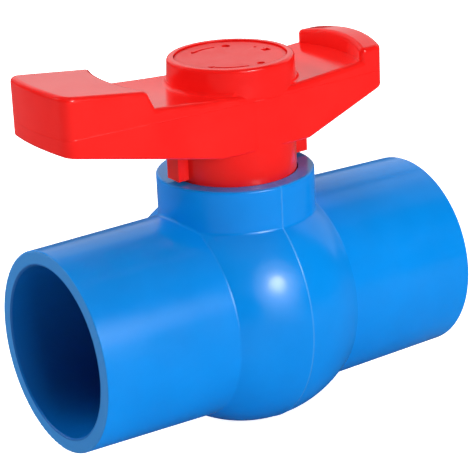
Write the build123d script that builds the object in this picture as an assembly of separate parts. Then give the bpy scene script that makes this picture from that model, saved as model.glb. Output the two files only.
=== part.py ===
from build123d import *
import os

# Compact solvent-socket ball valve for 50 mm pressure pipe, drawn open.
# Millimetres. The origin is the ball's centre, +Z runs up the stem and X runs along the pipe:
# the handle's long wing points to -X and its short wing to +X.

# Pipe sockets
pipe_radius = 25.0
socket_clearance = 0.1
socket_wall = 4.4
socket_depth = 31.0
socket_taper = 0.016        # radius gained per millimetre from the mouth inwards
mouth_chamfer = 0.4
mouth_edge = 0.5            # rounding of the mouth's outer edge
stop_wall = 4.73            # web that the pipe's end stops against

# Ball, seats and the carriers that hold them
ball_radius = 28.5
port_radius = 19.5
seat_gap = 0.3              # ball to seat face
seat_step = 0.5             # seat bore over the ball's port
seat_width = 4.5
seat_land = 1.5             # flat part of the seat's front face
seat_length = 2.5           # shortest length of the seat, at its bore
cushion_cord = 2.6
carrier_gap = 0.7           # ball to the inside of a carrier
carrier_shell = 2.5
carrier_wall = 3.2
carrier_back = 2.2
carrier_split = 3.0         # half the space left between the two carriers
carrier_ring_cord = 1.75
groove_slack = 0.45         # groove width over its ring's cord
body_slack = 0.1            # carrier to body

# Body around them
bulb_wall = 4.8
collar_height = 4.3         # collar rim above the bulb's top
collar_wall = 4.73
collar_edge = 0.7
junction_fillet = 0.8       # creases where sockets, bulb and collar meet
trough_wall = 3.2           # floor of the collar's trough above the ball chamber
gland_height = 5.6          # gland top above the collar rim
gland_wall = 4.3
gland_gap = 1.0             # gland to handle skirt
stop_rib_angle = 20.0
stop_rib_height = 3.4
flash_height = 0.15         # moulding line in the plane across the pipe
flash_bead = 0.3            # radius of its rounded section

# Stem
stem_radius = 9.0
shaft_clearance = 0.1
ring_clearance = 0.08       # stem ring to the gland's bore
tang_thickness = 7.0
tang_clearance = 0.15
tang_depth = 5.2            # tang's reach below the ball's top
flange_overhang = 2.2
flange_height = 2.8
flange_gap = 0.6            # flange to the ball's top
washer_thickness = 1.2
stem_ring_cord = 2.5
stem_ring_pitch = 4.8
drive_height = 15.0
drive_clearance = 0.1

# Handle
turn_angle = 90.0
turn_slack = 1.0
skirt_wall = 3.67
skirt_gap = 0.3             # skirt to the collar, all round
skirt_lift = 0.8            # skirt's end above the trough's floor
wing_rise = 9.6             # wing underside above the collar rim
hub_deck_rise = 26.5        # deck beside the boss, above the collar rim
deck_slope = 0.09           # rise of the deck per millimetre of radius
boss_rise = 34.0            # boss rim above the collar rim
boss_overhang = 0.7
boss_draft = 0.5
boss_edge = 1.0
boss_foot = 1.0             # hollow rounding where the boss meets the deck
wing_half_width = 15.8      # at the ends
wing_swell = 2.0            # extra half width at the stem
long_tip = 64.9             # radius of the long wing's end about the stem
long_corner = 3.7
long_under_slope = 0.208
long_step_radius = 38.6
long_step_lean = 0.43       # radius gained per millimetre up the step
long_block_rise = 33.2      # block top above the collar rim, at the step
long_block_slope = 0.12
short_tip = 45.1
short_corner = 2.7
short_under_slope = 0.365
lip_inner_radius = 38.0
lip_rise = 33.6
lip_arch_radius = 75.0
edge_radius = 1.4           # upper edges
under_edge_radius = 1.0     # lower edges
under_flat_inset = 3.0      # flat underside stops this far inside the hub
shell = 3.0
rib = 2.0
rib_lane = 8.4              # spacing of the ribs along the wing
rib_pitch = 12.5            # spacing of the ribs across the wing
lug_half_width = 2.9
lug_drop = 8.8              # lug length below the wing
long_lug_reach = 3.2        # lug beyond the skirt
short_lug_reach = 5.9

# Handle fixing and cap
web_thickness = 3.0
screw_radius = 2.4
screw_clearance = 0.4
screw_length = 18.0
pilot_spare = 1.0           # hole beyond the screw's tip
screw_head_radius = 4.7
screw_head_height = 3.2
screw_recess_radius = 1.7
plate_radius = 6.3
plate_thickness = 1.0
well_radius = 7.2
cap_radius = 16.2
cap_clearance = 0.1
cap_thickness = 2.0
cap_edge = 0.4
cap_step = 0.5              # cap face below the boss rim
cap_spigot_length = 2.6
cap_spigot_wall = 1.3

# Working overlaps, so that fused and cut shapes cross cleanly
bite = 1.0
beyond = 99.0

# Worked out: along the pipe
socket_radius = pipe_radius + socket_clearance
socket_outer = socket_radius + socket_wall
seat_bore = port_radius + seat_step
seat_outer = seat_bore + seat_width
seat_sphere = ball_radius + seat_gap
seat_front_x = (seat_sphere ** 2 - (seat_outer - seat_land) ** 2) ** 0.5
seat_back_x = (seat_sphere ** 2 - seat_bore ** 2) ** 0.5 + seat_length
cushion_outer = (seat_bore + seat_outer) / 2 + cushion_cord / 2
pocket_x = seat_back_x + cushion_cord
carrier_end_x = pocket_x + carrier_back
carrier_outer = cushion_outer + carrier_wall
carrier_sphere = ball_radius + carrier_gap + carrier_shell
chamber_radius = carrier_sphere + body_slack
chamber_end_x = carrier_end_x + body_slack
stop_x = chamber_end_x + stop_wall
mouth_x = stop_x + socket_depth
bulb_radius = chamber_radius + bulb_wall

# Worked out: around the stem
gland_bore = stem_radius + shaft_clearance
gland_outer = gland_bore + gland_wall
skirt_inner = gland_outer + gland_gap
hub_radius = skirt_inner + skirt_wall
collar_inner = hub_radius + skirt_gap
collar_outer = collar_inner + collar_wall
rim_z = bulb_radius + collar_height
gland_top_z = rim_z + gland_height
trough_z = chamber_radius + trough_wall
flange_radius = stem_radius + flange_overhang
flange_z = ball_radius + flange_gap
flange_top_z = flange_z + flange_height
roof_z = flange_top_z + washer_thickness + body_slack
drive_flats = 2 ** 0.5 * (stem_radius - shaft_clearance)
drive_top_z = gland_top_z + drive_height
tang_z = ball_radius - tang_depth

# Worked out: up the handle
wing_z = rim_z + wing_rise
deck_z = rim_z + hub_deck_rise
boss_z = rim_z + boss_rise
boss_radius = hub_radius + boss_overhang
web_z = drive_top_z + tang_clearance
web_top_z = web_z + web_thickness
cap_z = boss_z - cap_step
cap_floor_z = cap_z - cap_thickness


def turned(points, axis=Axis.X):
    """Ring or disc turned from a closed outline of (along, radius) or (radius, height) points."""
    plane = Plane.XY if axis == Axis.X else Plane.XZ
    return revolve(make_face(plane * Polyline(*points, close=True)), axis)


def upright(radius, low, high):
    """Round bar about the stem axis between two heights."""
    return Pos(0, 0, (low + high) / 2) * Cylinder(radius, high - low)


def across(radius, low, high):
    """Round bar about the pipe axis between two stations."""
    return Pos((low + high) / 2, 0, 0) * Rot(0, 90, 0) * Cylinder(radius, high - low)


def block(low, high):
    """Box between two opposite corners."""
    size = [b - a for a, b in zip(low, high)]
    centre = [(a + b) / 2 for a, b in zip(low, high)]
    return Pos(*centre) * Box(*size)


def torus_ring(centre_radius, cord, place):
    """Round-section ring, laid flat and then placed."""
    return place * Torus(centre_radius, cord / 2)


def to_right(part):
    """The same piece on the +X side of the ball."""
    return part.mirror(Plane.YZ)


def sector(inner, outer, low, high, start, sweep):
    """Part of a ring about the stem axis, from a start angle through a sweep."""
    flat = Plane.XZ * Pos((inner + outer) / 2, (low + high) / 2) * Rectangle(outer - inner, high - low)
    return Rot(0, 0, start) * revolve(flat, Axis.Z, sweep)


def body_outside():
    """Two tapered sockets, the round bulb between them and the collar on top."""
    crown = socket_outer + socket_taper * mouth_x
    tube = turned([(0, 0), (mouth_x, 0), (mouth_x, socket_outer), (0, crown)])
    tube = fillet(tube.edges().sort_by(Axis.X)[-1], mouth_edge)
    shape = tube + to_right(tube) + Sphere(bulb_radius) + upright(collar_outer, 0, rim_z)
    inner = [e for e in shape.edges() if abs(e.center().X) < stop_x and e.geom_type != GeomType.LINE]
    rim = [e for e in inner if e.center().Z > rim_z - collar_edge]
    long_arcs = [e for e in inner if e.bounding_box().size.Y < junction_fillet and e.bounding_box().size.X > stop_wall]
    shape = fillet([e for e in inner if e not in rim and e not in long_arcs], junction_fillet)
    shape = fillet(shape.edges().sort_by(Axis.Z)[-1], collar_edge)
    bead_radius = bulb_radius + flash_height - flash_bead
    bead_y = collar_outer + flash_height - flash_bead
    shape += torus_ring(bead_radius, 2 * flash_bead, Rot(0, 90, 0))
    for side in (-1, 1):
        shape += Pos(0, side * bead_y, 0) * upright(flash_bead, 0, rim_z - collar_edge)
    return shape


def body_hollow():
    """Half of the space inside the body, on the +X side: ball chamber, waterway, stop and socket."""
    pocket = carrier_outer + body_slack
    round_end = (chamber_radius ** 2 - pocket ** 2) ** 0.5
    outline = [
        Line((0, 0), (0, chamber_radius)),
        ThreePointArc((0, chamber_radius), (chamber_radius / 2, chamber_radius * 0.75 ** 0.5), (round_end, pocket)),
        Polyline(
            (round_end, pocket),
            (chamber_end_x, pocket),
            (chamber_end_x, seat_bore),
            (stop_x, seat_bore),
            (stop_x, socket_radius),
            (mouth_x - mouth_chamfer, socket_radius),
            (mouth_x, socket_radius + mouth_chamfer),
            (mouth_x, 0),
            (0, 0),
        ),
    ]
    return revolve(make_face(outline), Axis.X)


def make_valve_body():
    """Moulded shell with sockets, ball chamber, gland and the collar's trough with its stop ribs."""
    shape = body_outside() - upright(collar_inner, trough_z, rim_z)
    shape += upright(gland_outer, chamber_radius, gland_top_z)
    rib_top = trough_z + stop_rib_height
    for start in (0, 180):
        rib_start = start + 90 - stop_rib_angle / 2
        shape += sector(gland_outer - bite, collar_inner + bite, trough_z - bite, rib_top, rib_start, stop_rib_angle)
    half = body_hollow()
    shape = shape - half - to_right(half)
    return shape - upright(flange_radius + body_slack, 0, roof_z) - upright(gland_bore, 0, gland_top_z)


def make_ball():
    """Ball with a straight port and a slot across its top for the stem's tang."""
    slot_half = tang_thickness / 2 + tang_clearance
    slot_floor = tang_z - tang_clearance
    slot = block((-slot_half, -ball_radius, slot_floor), (slot_half, ball_radius, ball_radius))
    return Sphere(ball_radius) - across(port_radius, -ball_radius, ball_radius) - slot


def make_seat():
    """Seat ring on the -X side, hollowed to the ball's curve."""
    ring = across(seat_outer, -seat_back_x, -seat_front_x)
    return ring - across(seat_bore, -seat_back_x, 0) - Sphere(seat_sphere)


def make_cushion():
    """Round-section ring behind the seat that keeps it pressed to the ball."""
    place = Pos(-seat_back_x - cushion_cord / 2, 0, 0) * Rot(0, 90, 0)
    return torus_ring(cushion_outer - cushion_cord / 2, cushion_cord, place)


def carrier_groove_x():
    """Middle of the groove for the carrier's outer ring."""
    return carrier_end_x - carrier_back / 2 - carrier_ring_cord / 2


def make_carrier():
    """Cup that holds the seat and its cushion, on the -X side."""
    cup = Sphere(carrier_sphere) & block((-carrier_end_x, -beyond, -beyond), (-carrier_split, beyond, beyond))
    shape = cup + across(carrier_outer, -carrier_end_x, -seat_front_x)
    shape -= Sphere(ball_radius + carrier_gap)
    shape -= across(seat_outer, -seat_back_x, 0)
    shape -= across(cushion_outer, -pocket_x, 0)
    shape -= across(seat_bore, -carrier_end_x, 0)
    middle = carrier_groove_x()
    half = (carrier_ring_cord + groove_slack) / 2
    floor = carrier_outer + body_slack - carrier_ring_cord
    groove = across(carrier_outer + bite, -middle - half, -middle + half)
    shape -= groove - across(floor, -middle - half, -middle + half)
    return shape - upright(flange_radius + body_slack, 0, bulb_radius)


def make_carrier_ring():
    """Sealing ring between a carrier and the body, on the -X side."""
    place = Pos(-carrier_groove_x(), 0, 0) * Rot(0, 90, 0)
    return torus_ring(carrier_outer + body_slack - carrier_ring_cord / 2, carrier_ring_cord, place)


def stem_ring_heights():
    """Heights of the two stem rings, spaced about the middle of the gland."""
    middle = (roof_z + gland_top_z) / 2
    return middle - stem_ring_pitch / 2, middle + stem_ring_pitch / 2


def make_stem():
    """Blow-out-proof stem: tang, flange, two ring grooves and a square drive."""
    shape = upright(stem_radius, flange_z, gland_top_z) + upright(flange_radius, flange_z, flange_top_z)
    half = tang_thickness / 2
    tang = block((-half, -stem_radius, tang_z), (half, stem_radius, flange_z))
    shape += tang & upright(stem_radius, tang_z, flange_z)
    flat = drive_flats / 2
    shape += block((-flat, -flat, gland_top_z), (flat, flat, drive_top_z))
    floor = gland_bore - ring_clearance - stem_ring_cord
    half = (stem_ring_cord + groove_slack) / 2
    for height in stem_ring_heights():
        groove = upright(stem_radius + bite, height - half, height + half)
        shape -= groove - upright(floor, height - half, height + half)
    pilot_z = web_top_z + plate_thickness - screw_length - pilot_spare
    return shape - upright(screw_radius, pilot_z, drive_top_z)


def make_stem_ring(height):
    """Sealing ring in one of the stem's grooves."""
    centre = gland_bore - ring_clearance - stem_ring_cord / 2
    return torus_ring(centre, stem_ring_cord, Pos(0, 0, height))


def make_thrust_washer():
    """Flat ring between the stem's flange and the chamber roof."""
    ring = upright(flange_radius, flange_top_z, flange_top_z + washer_thickness)
    return ring - upright(gland_bore, flange_top_z, roof_z)


def wing_plan(inset):
    """The handle from above, drawn up: sides that swell to the hub, ends turned about the stem."""
    half = wing_half_width - inset
    apex = half + wing_swell
    left = long_tip - inset
    right = short_tip - inset
    left_x = -((left ** 2 - half ** 2) ** 0.5)
    right_x = (right ** 2 - half ** 2) ** 0.5
    outline = [
        Polyline((left_x, -half), (0, -apex), (right_x, -half)),
        ThreePointArc((right_x, -half), (right, 0), (right_x, half)),
        Polyline((right_x, half), (0, apex), (left_x, half)),
        ThreePointArc((left_x, half), (-left, 0), (left_x, -half)),
    ]
    face = make_face(outline)
    face = fillet(face.vertices().sort_by(Axis.X)[:2], max(long_corner - inset, edge_radius))
    face = fillet(face.vertices().sort_by(Axis.X)[-2:], max(short_corner - inset, edge_radius))
    return extrude(face, beyond)


def side_prism(points):
    """Side view of (x, z) points drawn out across the handle's width."""
    return extrude(make_face(Plane.XZ * Polyline(*points, close=True)), 2 * hub_radius, both=True)


def wing_blank():
    """Both wings before the deck is cut: sloped undersides, a rising block and an arched lip."""
    step_z = rim_z + long_block_rise
    step_x = -(long_step_radius ** 2 - wing_half_width ** 2) ** 0.5
    reach = long_tip + bite
    flat = hub_radius - under_flat_inset
    long_side = [
        (0, wing_z),
        (-flat, wing_z),
        (-reach, wing_z + long_under_slope * (reach - flat)),
        (-reach, step_z + long_block_slope * (reach + step_x)),
        (0, step_z + long_block_slope * step_x),
    ]
    short_side = [
        (0, wing_z),
        (flat, wing_z),
        (short_tip + bite, wing_z + short_under_slope * (short_tip + bite - flat)),
        (short_tip + bite, beyond),
        (0, beyond),
    ]
    arch_z = rim_z + lip_rise - lip_arch_radius
    arch = Pos(0, 0, arch_z) * across(lip_arch_radius, 0, short_tip + bite)
    return side_prism(long_side) + (side_prism(short_side) & arch)


def deck_cut():
    """What is cleared above the deck, turned about the stem: leaning long step, upright short lip."""
    def half(radius, lean, start):
        foot = deck_z + deck_slope * (radius - hub_radius)
        outline = [(0, deck_z), (hub_radius, deck_z), (radius, foot), (radius + lean * (beyond - foot), beyond), (0, beyond)]
        return Rot(0, 0, start) * revolve(make_face(Plane.XZ * Polyline(*outline, close=True)), Axis.Z, 180)

    return half(long_step_radius, long_step_lean, 90) + half(lip_inner_radius, 0, -90)


def wing_cores():
    """Pockets that leave the wings a moulded shell with crossing ribs, open below."""
    deck = deck_z - shell
    step = long_step_radius + shell
    crown = rim_z + long_block_rise - shell
    reach = long_tip
    lift = deck_slope * (long_step_radius - hub_radius)
    profile = [
        (-reach, wing_z - bite),
        (-reach, crown + long_block_slope * (reach - step)),
        (-step, crown),
        (-long_step_radius, deck + lift),
        (-hub_radius, deck),
        (hub_radius, deck),
        (short_tip, deck + lift),
        (short_tip, wing_z - bite),
    ]
    cores = side_prism(profile) & wing_plan(shell)
    cores -= upright(hub_radius, 0, boss_z)
    for lane in (-0.5, 0.5):
        middle = lane * rib_lane
        cores -= block((-beyond, middle - rib / 2, 0), (beyond, middle + rib / 2, beyond))
    count = int(reach / rib_pitch)
    for step_number in range(-count, count + 1):
        middle = step_number * rib_pitch
        cores -= block((middle - rib / 2, -beyond, 0), (middle + rib / 2, beyond, beyond))
    return cores


def upper_edges(wings):
    """Edges rounded on top: the outline along deck, step, block and lip, and the two inner rims."""
    corner_height = (deck_z - wing_z) / 2
    rims_z = (deck_z + boss_z) / 2
    picked = [e for e in wings.edges() if e.center().Z > deck_z - bite]
    picked = [e for e in picked if e.bounding_box().size.Z < corner_height]
    return [e for e in picked if abs(e.center().Y) > wing_half_width / 2 or e.center().Z > rims_z]


def lower_edges(wings):
    """Edges rounded below: those that only one face of the underside has."""
    under = [face for face in wings.faces() if face.normal_at().Z < -0.5]
    rings = [edge for face in under for edge in face.edges()]
    return [edge for edge in rings if sum(edge.is_same(other) for other in rings) == 1]


def boss_flare():
    """Hollow rounding round the foot of the boss, kept inside the deck's rounded edges."""
    outer = boss_radius + boss_foot
    centre_z = deck_z + deck_slope * (outer - hub_radius) + boss_foot
    ring = upright(outer, deck_z - bite, centre_z) - torus_ring(outer, 2 * boss_foot, Pos(0, 0, centre_z))
    return ring & wing_plan(edge_radius)


def make_handle():
    """Lever: skirted hub with a drive socket, two unequal wings, boss with a cap seat, two lugs."""
    wings = (wing_blank() & wing_plan(0)) - deck_cut()
    wings = fillet(upper_edges(wings), edge_radius)
    wings = fillet(lower_edges(wings), under_edge_radius)
    wings -= wing_cores()
    skirt_z = trough_z + skirt_lift
    hub = upright(hub_radius, skirt_z, deck_z)
    boss = Pos(0, 0, deck_z - bite) * Cone(
        boss_radius, boss_radius - boss_draft, boss_z - deck_z + bite, align=(Align.CENTER, Align.CENTER, Align.MIN)
    )
    boss = fillet(boss.edges().sort_by(Axis.Z)[-1], boss_edge)
    shape = wings + hub + boss + boss_flare()
    long_end = -hub_radius - long_lug_reach
    lug_z = wing_z - lug_drop
    shape += block((long_end, -lug_half_width, lug_z), (0, lug_half_width, wing_z + shell))
    shape += block((0, -lug_half_width, lug_z), (hub_radius + short_lug_reach, lug_half_width, wing_z + shell))
    shape -= upright(skirt_inner, skirt_z, gland_top_z + flange_gap)
    sweep = turn_angle + stop_rib_angle + 2 * turn_slack
    notch_top = trough_z + stop_rib_height + flange_gap
    for start in (0, 180):
        notch_start = start + 90 - stop_rib_angle / 2 - turn_slack
        shape -= sector(skirt_inner - bite, hub_radius + bite, skirt_z - bite, notch_top, notch_start, sweep)
    flat = drive_flats / 2 + drive_clearance
    shape -= block((-flat, -flat, gland_top_z), (flat, flat, web_z))
    shape -= upright(screw_radius + screw_clearance, web_z, boss_z)
    shape -= upright(well_radius, web_top_z, boss_z)
    shape -= upright(cap_radius + cap_clearance, cap_floor_z, boss_z)
    return shape


def make_screw():
    """Pan-head screw that holds the handle down on the stem."""
    head_z = web_top_z + plate_thickness
    shape = upright(screw_radius, head_z - screw_length, head_z)
    head = upright(screw_head_radius, head_z, head_z + screw_head_height)
    shape += fillet(head.edges().sort_by(Axis.Z)[-1], screw_head_height / 3)
    slot = upright(screw_recess_radius, head_z + screw_head_height / 3, head_z + screw_head_height)
    return shape - slot


def make_plate_washer():
    """Plain washer under the screw's head."""
    ring = upright(plate_radius, web_top_z, web_top_z + plate_thickness)
    return ring - upright(screw_radius + screw_clearance, web_top_z, web_top_z + plate_thickness)


def make_cap():
    """Push-in disc that closes the boss, with a ring spigot that grips the screw's well."""
    disc = upright(cap_radius, cap_floor_z, cap_z)
    disc = fillet(disc.edges().sort_by(Axis.Z)[-1], cap_edge)
    outer = well_radius - cap_clearance
    foot_z = cap_floor_z - cap_spigot_length
    return disc + (upright(outer, foot_z, cap_floor_z) - upright(outer - cap_spigot_wall, foot_z, cap_floor_z))


def build_parts():
    """Every node of the valve by name."""
    parts = {"valve_body": make_valve_body(), "ball": make_ball()}
    sided = {
        "seat_ring": make_seat(),
        "seat_cushion_oring": make_cushion(),
        "seat_carrier": make_carrier(),
        "carrier_oring": make_carrier_ring(),
    }
    for name, piece in sided.items():
        parts[name + "_left"] = piece
        parts[name + "_right"] = to_right(piece)
    parts["stem"] = make_stem()
    lower, upper = stem_ring_heights()
    parts["stem_oring_lower"] = make_stem_ring(lower)
    parts["stem_oring_upper"] = make_stem_ring(upper)
    parts["thrust_washer"] = make_thrust_washer()
    parts["handle"] = make_handle()
    parts["handle_screw"] = make_screw()
    parts["screw_washer"] = make_plate_washer()
    parts["handle_cap"] = make_cap()
    return parts


os.makedirs("parts", exist_ok=True)
for node, shape in build_parts().items():
    export_step(shape, f"parts/{node}.step")
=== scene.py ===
import math

import bmesh
import bpy
from mathutils import Matrix, Quaternion, Vector


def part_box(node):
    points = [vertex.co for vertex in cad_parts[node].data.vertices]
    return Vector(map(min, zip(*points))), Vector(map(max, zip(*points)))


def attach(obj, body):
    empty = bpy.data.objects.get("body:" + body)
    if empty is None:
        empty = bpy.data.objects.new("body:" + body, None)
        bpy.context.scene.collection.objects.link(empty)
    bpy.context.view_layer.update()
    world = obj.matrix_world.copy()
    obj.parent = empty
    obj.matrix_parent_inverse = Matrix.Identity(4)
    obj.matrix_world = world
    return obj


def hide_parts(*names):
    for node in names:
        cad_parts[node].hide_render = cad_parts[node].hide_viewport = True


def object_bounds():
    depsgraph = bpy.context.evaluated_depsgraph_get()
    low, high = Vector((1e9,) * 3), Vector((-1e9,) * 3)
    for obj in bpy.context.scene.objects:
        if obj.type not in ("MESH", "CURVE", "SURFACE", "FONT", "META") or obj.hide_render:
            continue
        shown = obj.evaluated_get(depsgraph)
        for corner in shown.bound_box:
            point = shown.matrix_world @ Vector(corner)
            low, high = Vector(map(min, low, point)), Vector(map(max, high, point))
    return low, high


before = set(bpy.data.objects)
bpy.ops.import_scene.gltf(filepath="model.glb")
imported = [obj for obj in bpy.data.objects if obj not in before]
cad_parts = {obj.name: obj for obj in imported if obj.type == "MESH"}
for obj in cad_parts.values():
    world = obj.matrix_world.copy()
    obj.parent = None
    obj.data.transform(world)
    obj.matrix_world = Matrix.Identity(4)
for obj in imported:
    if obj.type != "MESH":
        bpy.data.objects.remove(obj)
cad_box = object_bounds()
mm = 0.001

# ---------------------------------------------------------------------------------------------
# Camera: a long lens a little above the valve, in front of its open left socket.
# ---------------------------------------------------------------------------------------------


def direction(azimuth, elevation):
    """Unit vector from the valve towards a place in the studio; azimuth 0 is in front, on -Y."""
    a = math.radians(azimuth)
    e = math.radians(elevation)
    return Vector((math.sin(a) * math.cos(e), -math.cos(a) * math.cos(e), math.sin(e)))


view_target = Vector((-0.9, 0.25, 20.0)) * mm
view_distance = 573.6 * mm
view_roll = math.radians(-2.56)
towards_camera = direction(-33.49, 20.04)
camera_data = bpy.data.cameras.new("studio_camera")
camera_data.lens = 149.19
camera_data.sensor_width = 36.0
camera_data.clip_start = 0.05
camera_data.clip_end = 20.0
camera = bpy.data.objects.new("studio_camera", camera_data)
camera.location = view_target + towards_camera * view_distance
camera.rotation_mode = "QUATERNION"
camera.rotation_quaternion = towards_camera.to_track_quat("Z", "Y") @ Quaternion((0, 0, 1), view_roll)
bpy.context.scene.collection.objects.link(camera)
bpy.context.scene.camera = camera

# ---------------------------------------------------------------------------------------------
# Studio: a white paper sweep, a bright backdrop behind the valve and a key light whose round
# reflection sits on the bulb. The overhead and the fills are cross-polarised: they light the
# colour of the plastic without laying a sheen on it, while the key only lays its sheen.
# ---------------------------------------------------------------------------------------------


def softbox(name, azimuth, elevation, distance, width, height, watts, gives="both", shape="RECTANGLE"):
    """A soft light aimed at the valve. It gives the plastic colour, sheen or both."""
    data = bpy.data.lights.new(name, "AREA")
    data.shape = shape
    data.size = width
    data.size_y = height
    data.energy = watts
    lamp = bpy.data.objects.new(name, data)
    lamp.location = view_target + direction(azimuth, elevation) * distance
    lamp.rotation_mode = "QUATERNION"
    lamp.rotation_quaternion = direction(azimuth, elevation).to_track_quat("Z", "Y")
    lamp.visible_glossy = gives != "colour"
    lamp.visible_diffuse = gives != "sheen"
    bpy.context.scene.collection.objects.link(lamp)


# Azimuth and elevation are in degrees, distance, width and height in metres
softbox("overhead", 0, 80, 1.0, 1.0, 1.0, 3.8, gives="colour")
softbox("backdrop", 150, 22, 1.3, 1.4, 0.7, 2.4)
softbox("backdrop_high", 150, 50, 1.2, 1.2, 0.7, 0.7)
softbox("backdrop_left", -172, 28, 1.2, 0.5, 0.9, 0.6)
softbox("backdrop_right", 100, 30, 1.2, 0.8, 0.9, 1.6)
# The key is three discs, one within another, so its reflection fades out towards the edge
for name, across, watts in (("key", 0.27, 4.8), ("key_halo", 0.52, 3.4), ("key_outer_halo", 0.95, 4.4)):
    softbox(name, 5, 27.2, 1.2, across, across, watts, gives="sheen", shape="ELLIPSE")
softbox("fill_front", 5, 12, 1.2, 0.8, 0.8, 13.8, gives="colour")
softbox("fill_left", -140, 28, 1.2, 0.7, 0.7, 12.0, gives="colour")
softbox("fill_back", 165, 30, 1.2, 0.7, 0.7, 2.5, gives="colour")

world = bpy.data.worlds.new("studio_air")
bpy.context.scene.world = world
world.use_nodes = True
air = world.node_tree.nodes["Background"]
faint_glow = 0.02
air.inputs["Color"].default_value = (1.0, 1.0, 1.0, 1.0)
air.inputs["Strength"].default_value = faint_glow
bpy.context.scene.view_settings.view_transform = "Standard"


def linear(hex_colour):
    """Linear RGBA from an sRGB hex colour."""
    parts = [int(hex_colour[i:i + 2], 16) / 255 for i in (1, 3, 5)]
    return tuple(c / 12.92 if c <= 0.04045 else ((c + 0.055) / 1.055) ** 2.4 for c in parts) + (1.0,)


def add_node(tree, kind, inputs=None, **settings):
    """A node with its settings; an input given as a socket is linked, anything else is its value.
    A Mix node's inputs 2 and 3 are its two numbers, 6 and 7 its two colours."""
    made = tree.nodes.new(kind)
    for name, value in settings.items():
        setattr(made, name, value)
    for name, value in (inputs or {}).items():
        if isinstance(value, bpy.types.NodeSocket):
            tree.links.new(value, made.inputs[name])
        else:
            made.inputs[name].default_value = value
    return made


# Matt white paper: burnt out where the camera sees it, and grey where the plastic mirrors it
paper = bpy.data.materials.new("white_paper_sweep")
paper.use_nodes = True
tree = paper.node_tree
tree.nodes.clear()
fibre = add_node(tree, "ShaderNodeBsdfDiffuse", {"Color": linear("#F2F2F2")})
shaded = add_node(tree, "ShaderNodeBsdfDiffuse", {"Color": linear("#6C6C6C")})
paper_glow = 0.86
burnt_out = add_node(tree, "ShaderNodeEmission", {"Color": (1.0, 1.0, 1.0, 1.0), "Strength": paper_glow})
exposed = add_node(tree, "ShaderNodeAddShader", {0: fibre.outputs[0], 1: burnt_out.outputs[0]})
ray = add_node(tree, "ShaderNodeLightPath")
mirrored = add_node(tree, "ShaderNodeMixShader",
                    {0: ray.outputs["Is Glossy Ray"], 1: fibre.outputs[0], 2: shaded.outputs[0]})
seen = add_node(tree, "ShaderNodeMixShader",
                {0: ray.outputs["Is Camera Ray"], 1: mirrored.outputs[0], 2: exposed.outputs[0]})
# Seen from below, the paper isn't there
side = add_node(tree, "ShaderNodeNewGeometry")
clear = add_node(tree, "ShaderNodeBsdfTransparent")
one_sided = add_node(tree, "ShaderNodeMixShader",
                     {0: side.outputs["Backfacing"], 1: seen.outputs[0], 2: clear.outputs[0]})
add_node(tree, "ShaderNodeOutputMaterial", {"Surface": one_sided.outputs[0]})

sweep = bmesh.new()
sweep_reach = 4.0
bmesh.ops.create_grid(sweep, x_segments=1, y_segments=1, size=sweep_reach)
bmesh.ops.translate(sweep, verts=sweep.verts, vec=(0, 0, cad_box[0].z))
sweep_data = bpy.data.meshes.new("studio_floor")
sweep.to_mesh(sweep_data)
sweep.free()
sweep_data.materials.append(paper)
studio_floor = bpy.data.objects.new("studio_floor", sweep_data)
bpy.context.scene.collection.objects.link(studio_floor)

# ---------------------------------------------------------------------------------------------
# Valve body: one injection moulding in blue pressure-pipe PVC-U, with a socket at each end, the
# bulb round the ball and the collar that guards the stem. Polished steel tools leave it glossy.
# ---------------------------------------------------------------------------------------------


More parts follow.
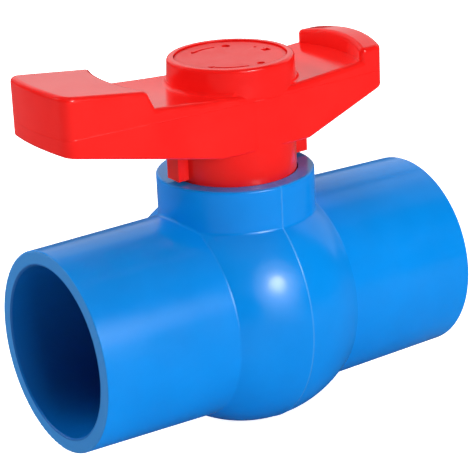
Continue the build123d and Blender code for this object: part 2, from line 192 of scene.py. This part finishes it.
def moulded_plastic(name, deep, light, polish, ripple, ior, sheen_level):
    """Moulded plastic: pigment that drifts a little, stray specks, uneven polish with hairline
    rubs, and a skin that sinks and ripples under a fine orange peel."""
    drift_size = 28 * mm
    speck_spacing = 14 * mm
    speck_share = 0.011
    speck_strength = 0.35
    rub_length = 33.3 * mm
    rub_spacing = 3.03 * mm
    rub_dulling = 0.01
    polish_size = 8 * mm
    sink_size = 12 * mm
    peel_size = 1.1 * mm
    peel_share = 0.04
    material = bpy.data.materials.new(name)
    material.use_nodes = True
    tree = material.node_tree
    skin = tree.nodes["Principled BSDF"]
    skin.inputs["IOR"].default_value = ior
    skin.inputs["Specular IOR Level"].default_value = sheen_level
    place = add_node(tree, "ShaderNodeTexCoord").outputs["Object"]
    drift = add_node(tree, "ShaderNodeTexNoise",
                     {"Vector": place, "Scale": 1 / drift_size, "Detail": 4.0, "Roughness": 0.55})
    spread = add_node(tree, "ShaderNodeMapRange",
                      {"Value": drift.outputs["Fac"], "From Min": 0.32, "From Max": 0.68})
    pigment = add_node(tree, "ShaderNodeMix",
                       {"Factor": spread.outputs[0], 6: linear(deep), 7: linear(light)}, data_type="RGBA")
    # Specks of burnt or stray pigment, 0.15 mm in radius
    speck = add_node(tree, "ShaderNodeTexVoronoi", {"Vector": place, "Scale": 1 / speck_spacing})
    dot = add_node(tree, "ShaderNodeMath", {0: speck.outputs["Distance"], 1: speck_share},
                   operation="LESS_THAN")
    faint = add_node(tree, "ShaderNodeMath", {0: dot.outputs[0], 1: speck_strength}, operation="MULTIPLY")
    dark = tuple(c * 0.25 for c in linear(deep)[:3]) + (1.0,)
    colour = add_node(tree, "ShaderNodeMix",
                      {"Factor": faint.outputs[0], 6: pigment.outputs[2], 7: dark}, data_type="RGBA")
    tree.links.new(colour.outputs[2], skin.inputs["Base Color"])
    # Rubs: long thin cells whose borders are the hairlines
    stretch = add_node(tree, "ShaderNodeMapping",
                       {"Vector": place, "Rotation": (0.3, 0.5, 0.2),
                        "Scale": (1 / rub_length, 1 / rub_spacing, 1 / rub_spacing)})
    cells = add_node(tree, "ShaderNodeTexVoronoi", {"Vector": stretch.outputs[0], "Scale": 1.0},
                     feature="DISTANCE_TO_EDGE")
    hairline = add_node(tree, "ShaderNodeMapRange",
                        {"Value": cells.outputs["Distance"], "From Min": 0.0, "From Max": 0.012,
                         "To Min": rub_dulling, "To Max": 0.0})
    cloud = add_node(tree, "ShaderNodeTexNoise",
                     {"Vector": place, "Scale": 1 / polish_size, "Detail": 6.0, "Roughness": 0.62})
    gloss = add_node(tree, "ShaderNodeMapRange",
                     {"Value": cloud.outputs["Fac"], "From Min": 0.3, "From Max": 0.7,
                      "To Min": polish[0], "To Max": polish[1]})
    rubbed = add_node(tree, "ShaderNodeMath", {0: gloss.outputs[0], 1: hairline.outputs[0]},
                      operation="ADD")
    tree.links.new(rubbed.outputs[0], skin.inputs["Roughness"])
    sink = add_node(tree, "ShaderNodeTexNoise", {"Vector": place, "Scale": 1 / sink_size, "Detail": 1.0})
    peel = add_node(tree, "ShaderNodeTexNoise", {"Vector": place, "Scale": 1 / peel_size, "Detail": 2.0})
    waves = add_node(tree, "ShaderNodeBump",
                     {"Strength": 1.0, "Distance": ripple, "Height": sink.outputs["Fac"]})
    grain = add_node(tree, "ShaderNodeBump",
                     {"Strength": 1.0, "Distance": ripple * peel_share, "Height": peel.outputs["Fac"],
                      "Normal": waves.outputs[0]})
    tree.links.new(grain.outputs[0], skin.inputs["Normal"])
    return material


def dress(material, *names):
    """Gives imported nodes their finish."""
    for name in names:
        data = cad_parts[name].data
        data.materials.clear()
        data.materials.append(material)


def recolour(tree, mask, hex_colour):
    """Lays another colour over the skin's own where the mask is."""
    channel = tree.nodes["Principled BSDF"].inputs["Base Color"]
    mixed = add_node(tree, "ShaderNodeMix",
                     {"Factor": mask, 6: channel.links[0].from_socket, 7: linear(hex_colour)},
                     data_type="RGBA")
    tree.links.new(mixed.outputs[2], channel)


def repolish(tree, mask, roughness):
    """Gives the skin another roughness where the mask is."""
    channel = tree.nodes["Principled BSDF"].inputs["Roughness"]
    mixed = add_node(tree, "ShaderNodeMix",
                     {"Factor": mask, 2: channel.links[0].from_socket, 3: roughness}, data_type="FLOAT")
    tree.links.new(mixed.outputs[0], channel)


def emboss(tree, height, depth):
    """Raises the skin by a height from 0 to 1 times the depth, on top of its own relief."""
    channel = tree.nodes["Principled BSDF"].inputs["Normal"]
    raised = add_node(tree, "ShaderNodeBump",
                      {"Strength": 1.0, "Distance": depth, "Height": height,
                       "Normal": channel.links[0].from_socket})
    tree.links.new(raised.outputs[0], channel)


# Blue PVC-U: a dense, slightly milky pigment under a clear gloss skin
blue_pvc = moulded_plastic("moulded_blue_pvc_u", "#0283DC", "#038BE6", polish=(0.16, 0.25),
                           ripple=0.045 * mm, ior=1.53, sheen_level=0.32)
tree = blue_pvc.node_tree
place = add_node(tree, "ShaderNodeTexCoord").outputs["Object"]
apart = add_node(tree, "ShaderNodeSeparateXYZ", {"Vector": place})
along = add_node(tree, "ShaderNodeMath", {0: apart.outputs["X"]}, operation="ABSOLUTE")
# Where the mould's halves met, a paler line round the bulb and collar: a painted highlight along the flash
parting_highlight = add_node(tree, "ShaderNodeMapRange",
                   {"Value": along.outputs[0], "From Min": 0.15 * mm, "From Max": 0.4 * mm,
                    "To Min": 0.22, "To Max": 0.0})
recolour(tree, parting_highlight.outputs[0], "#6BBDF5")
# The mouths are faced off after moulding: greyer and satin, with rings left by the cutter
mouth_x = cad_box[1].x
cut_depth = 0.15 * mm
ring_pitch = 0.5 * mm
faced = add_node(tree, "ShaderNodeMath", {0: along.outputs[0], 1: mouth_x - cut_depth},
                 operation="GREATER_THAN")
repolish(tree, faced.outputs[0], 0.42)
recolour(tree, faced.outputs[0], "#2C83CB")
cross = add_node(tree, "ShaderNodeCombineXYZ", {"Y": apart.outputs["Y"], "Z": apart.outputs["Z"]})
from_axis = add_node(tree, "ShaderNodeVectorMath", {0: cross.outputs[0]}, operation="LENGTH")
turns = add_node(tree, "ShaderNodeMath", {0: from_axis.outputs["Value"], 1: 2 * math.pi / ring_pitch},
                 operation="MULTIPLY")
ring = add_node(tree, "ShaderNodeMath", {0: turns.outputs[0]}, operation="SINE")
cut = add_node(tree, "ShaderNodeMath", {0: ring.outputs[0], 1: faced.outputs[0]}, operation="MULTIPLY")
emboss(tree, cut.outputs[0], 0.004 * mm)
# Inside the sockets and the waterway the skin drags on the core as it is drawn: duller and lined along the
# pipe.
# Its blue is also darkened there, which is painted shade
bore_radius = 25.6 * mm
bore_edge = 0.3 * mm
line_length = 40 * mm
line_spacing = 1.11 * mm
bore_shade_and_dullness = add_node(tree, "ShaderNodeMapRange",
                  {"Value": from_axis.outputs["Value"], "From Min": bore_radius,
                   "From Max": bore_radius + bore_edge, "To Min": 1.0, "To Max": 0.0})
repolish(tree, bore_shade_and_dullness.outputs[0], 0.38)
# Painted shade: the bore's blue is darkened
recolour(tree, bore_shade_and_dullness.outputs[0], "#025FAC")
drawn = add_node(tree, "ShaderNodeMapping",
                 {"Vector": place, "Scale": (1 / line_length, 1 / line_spacing, 1 / line_spacing)})
lines = add_node(tree, "ShaderNodeTexNoise", {"Vector": drawn.outputs[0], "Scale": 1.0, "Detail": 2.0})
dragged = add_node(tree, "ShaderNodeMath", {0: lines.outputs["Fac"], 1: bore_shade_and_dullness.outputs[0]},
                   operation="MULTIPLY")
emboss(tree, dragged.outputs[0], 0.03 * mm)
dress(blue_pvc, "valve_body")

# ---------------------------------------------------------------------------------------------
# Seats: on each side of the ball a waxy white PTFE ring, a rubber cushion behind it, and the
# satin grey PVC-U cup that holds both, with its own rubber ring that seals it in the body's bore.
# ---------------------------------------------------------------------------------------------
# PTFE: waxy, because light goes a little way into it
ptfe = moulded_plastic("turned_white_ptfe", "#E2E1DB", "#EEEDE8", polish=(0.38, 0.50),
                       ripple=0.02 * mm, ior=1.35, sheen_level=0.5)
skin = ptfe.node_tree.nodes["Principled BSDF"]
skin.inputs["Subsurface Weight"].default_value = 0.15
skin.inputs["Subsurface Scale"].default_value = 1.5 * mm
# Grey PVC-U: satin, from a blasted mould
grey_pvc = moulded_plastic("moulded_grey_pvc_u", "#666B70", "#757A80", polish=(0.30, 0.42),
                           ripple=0.04 * mm, ior=1.53, sheen_level=0.5)
# EPDM rubber: matt black with a bloom of talc
epdm = moulded_plastic("moulded_black_epdm", "#141415", "#232325", polish=(0.55, 0.75),
                       ripple=0.02 * mm, ior=1.5, sheen_level=0.4)
for side in ("left", "right"):
    dress(ptfe, "seat_ring_" + side)
    dress(grey_pvc, "seat_carrier_" + side)
    dress(epdm, "seat_cushion_oring_" + side, "carrier_oring_" + side)

# ---------------------------------------------------------------------------------------------
# Ball: white PVC-U, moulded with its port and the slot for the stem, then turned and polished to
# seal against the seats, so it is the glossiest part inside. It is held only by the two seats.
# ---------------------------------------------------------------------------------------------
white_pvc = moulded_plastic("polished_white_pvc_u", "#DEDFDC", "#ECECE8", polish=(0.10, 0.18),
                            ripple=0.01 * mm, ior=1.53, sheen_level=0.5)
dress(white_pvc, "ball")

# ---------------------------------------------------------------------------------------------
# Stem: a grey PVC-U moulding whose tang sits in the ball's slot and whose square carries the
# handle. Two rubber rings seal it in the gland, and its flange pulls up on a PTFE thrust washer.
# ---------------------------------------------------------------------------------------------
dress(grey_pvc, "stem")
dress(epdm, "stem_oring_lower", "stem_oring_upper")
dress(ptfe, "thrust_washer")

# ---------------------------------------------------------------------------------------------
# Handle: one glossy red ABS moulding, hub and both wings, pushed on the stem's square. The two
# halves of its tool met 65 mm above the pipe's axis and left a hairline ridge all round.
# ---------------------------------------------------------------------------------------------
# Red ABS from a polished mould: a strong even red with the sharpest reflections on the valve
red_abs = moulded_plastic("moulded_red_abs", "#EC1715", "#F4201C", polish=(0.09, 0.17),
                          ripple=0.03 * mm, ior=1.54, sheen_level=0.36)
tree = red_abs.node_tree
place = add_node(tree, "ShaderNodeTexCoord").outputs["Object"]
apart = add_node(tree, "ShaderNodeSeparateXYZ", {"Vector": place})
parting_z = 65.3 * mm
parting_half_width = 0.22 * mm
above = add_node(tree, "ShaderNodeMath", {0: apart.outputs["Z"], 1: parting_z}, operation="SUBTRACT")
off = add_node(tree, "ShaderNodeMath", {0: above.outputs[0]}, operation="ABSOLUTE")
ridge = add_node(tree, "ShaderNodeMapRange",
                 {"Value": off.outputs[0], "From Min": 0.0, "From Max": parting_half_width,
                  "To Min": 1.0, "To Max": 0.0}, interpolation_type="SMOOTHSTEP")
emboss(tree, ridge.outputs[0], 0.05 * mm)
dress(red_abs, "handle")

# ---------------------------------------------------------------------------------------------
# Screw and washer: turned stainless steel, down in the boss's well under the cap. They hold the
# handle on the stem's square. Fine rings from the lathe and a little tarnish soften their shine.
# ---------------------------------------------------------------------------------------------
steel = bpy.data.materials.new("turned_stainless_steel")
steel.use_nodes = True
tree = steel.node_tree
skin = tree.nodes["Principled BSDF"]
skin.inputs["Metallic"].default_value = 1.0
place = add_node(tree, "ShaderNodeTexCoord").outputs["Object"]
tarnish_size = 3 * mm
tarnish = add_node(tree, "ShaderNodeTexNoise", {"Vector": place, "Scale": 1 / tarnish_size, "Detail": 4.0})
tone = add_node(tree, "ShaderNodeMix",
                {"Factor": tarnish.outputs["Fac"], 6: linear("#A9A7A2"), 7: linear("#C9C8C4")},
                data_type="RGBA")
tree.links.new(tone.outputs[2], skin.inputs["Base Color"])
brushed = add_node(tree, "ShaderNodeMapRange",
                   {"Value": tarnish.outputs["Fac"], "To Min": 0.22, "To Max": 0.40})
tree.links.new(brushed.outputs[0], skin.inputs["Roughness"])
# The wave texture lays its rings pi / 10 of this size apart, which is 0.11 mm
groove_size = 0.35 * mm
groove = add_node(tree, "ShaderNodeTexWave", {"Vector": place, "Scale": 1 / groove_size, "Distortion": 1.5},
                  wave_type="RINGS", rings_direction="Z")
lathe = add_node(tree, "ShaderNodeBump",
                 {"Strength": 0.6, "Distance": 0.006 * mm, "Height": groove.outputs["Fac"]})
tree.links.new(lathe.outputs[0], skin.inputs["Normal"])
dress(steel, "handle_screw", "screw_washer")

# ---------------------------------------------------------------------------------------------
# Cap: a red ABS disc pressed into the boss over the screw. Two bent arrows for the way to turn
# and plain marks for the ends of travel are sunk in its face by the tool.
# ---------------------------------------------------------------------------------------------
cap_low, cap_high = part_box("handle_cap")
cap_radius = cap_high.x
cap_z = cap_high.z
disc_thickness = 2.0 * mm
cap_floor = cap_z - disc_thickness
spigot_outer = 7.1 * mm
spigot_inner = 5.8 * mm
face_radius = 14.2 * mm
dish = 0.35 * mm
shoulder = 0.45 * mm
cap_profile = [
    (0.0, cap_z - dish),
    (6.0 * mm, cap_z - dish),
    (12.6 * mm, cap_z - dish * 0.86),
    (face_radius, cap_z - dish * 0.2),
    (face_radius + 0.5 * mm, cap_z),
    (cap_radius, cap_z),
    (cap_radius, cap_floor),
    (spigot_outer, cap_floor),
    (spigot_outer, cap_low.z),
    (spigot_inner, cap_low.z),
    (spigot_inner, cap_floor),
    (0.0, cap_floor),
]
turn_steps = 160
disc = bmesh.new()
rim = [disc.verts.new((r, 0.0, z)) for r, z in cap_profile]
for start, end in zip(rim, rim[1:]):
    disc.edges.new((start, end))
bmesh.ops.spin(disc, geom=disc.verts[:] + disc.edges[:], axis=(0, 0, 1), cent=(0, 0, 0),
               angle=2 * math.pi, steps=turn_steps, use_merge=True)
bmesh.ops.remove_doubles(disc, verts=disc.verts, dist=0.001 * mm)
bmesh.ops.recalc_face_normals(disc, faces=disc.faces)


def sharp_ring(edge, radius, height):
    """True for an edge on the circle of that radius and height about the stem."""
    close = 0.01 * mm
    return all(abs(v.co.xy.length - radius) < close and abs(v.co.z - height) < close for v in edge.verts)


bmesh.ops.bevel(disc, geom=[e for e in disc.edges if sharp_ring(e, cap_radius, cap_z)], offset=shoulder,
                offset_type="OFFSET", segments=4, profile=0.5, affect="EDGES", material=-1)
cap_data = bpy.data.meshes.new("cap_disc")
disc.to_mesh(cap_data)
disc.free()
cap_blank = bpy.data.objects.new("cap_disc", cap_data)

mark_depth = 0.5 * mm
mark_floor = cap_z - dish - mark_depth
mark_top = cap_z + 1.0 * mm
stroke = 0.95 * mm
arc_steps = 24
marks = bmesh.new()


def sunk_arc(radius, start, sweep):
    """A bent bar of the stroke's width, from an angle through a sweep about the stem."""
    corners = [(radius - stroke / 2, mark_floor), (radius + stroke / 2, mark_floor),
               (radius + stroke / 2, mark_top), (radius - stroke / 2, mark_top)]
    end = [marks.verts.new((r, 0.0, z)) for r, z in corners]
    face = marks.faces.new(end)
    bmesh.ops.rotate(marks, verts=end, cent=(0, 0, 0), matrix=Matrix.Rotation(math.radians(start), 3, "Z"))
    bmesh.ops.spin(marks, geom=end + face.edges[:] + [face], axis=(0, 0, 1), cent=(0, 0, 0),
                   angle=math.radians(sweep), steps=arc_steps)


def sunk_shape(radius, angle, size, sides, turn):
    """A small flat-sided mark, turned about its middle, at an angle on a circle about the stem."""
    made = bmesh.ops.create_cone(marks, cap_ends=True, segments=sides, radius1=size, radius2=size,
                                 depth=mark_top - mark_floor)
    spin = Matrix.Rotation(math.radians(turn), 3, "Z")
    swing = Matrix.Rotation(math.radians(angle), 3, "Z")
    bmesh.ops.rotate(marks, verts=made["verts"], cent=(0, 0, 0), matrix=spin)
    bmesh.ops.translate(marks, verts=made["verts"], vec=(radius, 0, (mark_top + mark_floor) / 2))
    bmesh.ops.rotate(marks, verts=made["verts"], cent=(0, 0, 0), matrix=swing)


mark_circle = 12.0 * mm
arrow_head = 1.35 * mm
# An arrow for each way to turn, then the plain marks beside them
sunk_arc(mark_circle, 78, 36)
sunk_shape(mark_circle, 117.5, arrow_head, 3, 0)
sunk_arc(mark_circle, -146, 48)
sunk_shape(mark_circle, -150, arrow_head, 3, 180)
sunk_shape(mark_circle, 62, 1.3 * mm, 20, 0)
sunk_shape(mark_circle, 19, 0.6 * mm, 12, 0)
sunk_shape(mark_circle, -3, 1.7 * mm, 4, 45)
sunk_shape(mark_circle, -78, 1.35 * mm, 6, 0)
bmesh.ops.recalc_face_normals(marks, faces=marks.faces)
marks_data = bpy.data.meshes.new("cap_marks")
marks.to_mesh(marks_data)
marks.free()
cap_marks = bpy.data.objects.new("cap_marks", marks_data)
for helper in (cap_blank, cap_marks):
    bpy.context.scene.collection.objects.link(helper)
sinking = cap_blank.modifiers.new("sink_marks", "BOOLEAN")
sinking.operation = "DIFFERENCE"
sinking.solver = "EXACT"
sinking.object = cap_marks
bpy.context.view_layer.update()
graph = bpy.context.evaluated_depsgraph_get()
finished = bpy.data.meshes.new_from_object(cap_blank.evaluated_get(graph))
for helper in (cap_blank, cap_marks):
    bpy.data.objects.remove(helper)
finished.materials.clear()
# The tool face behind the cap is spark-eroded, so it is duller than the handle
satin_abs = moulded_plastic("spark_eroded_red_abs", "#E81715", "#F0201C", polish=(0.27, 0.38),
                            ripple=0.03 * mm, ior=1.54, sheen_level=0.36)
finished.materials.append(satin_abs)
finished.polygons.foreach_set("use_smooth", [True] * len(finished.polygons))
sharp_from = math.radians(32)
finished.set_sharp_from_angle(angle=sharp_from)
cap = bpy.data.objects.new("boss_cap", finished)
bpy.context.scene.collection.objects.link(cap)
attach(cap, "operator")
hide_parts("handle_cap")
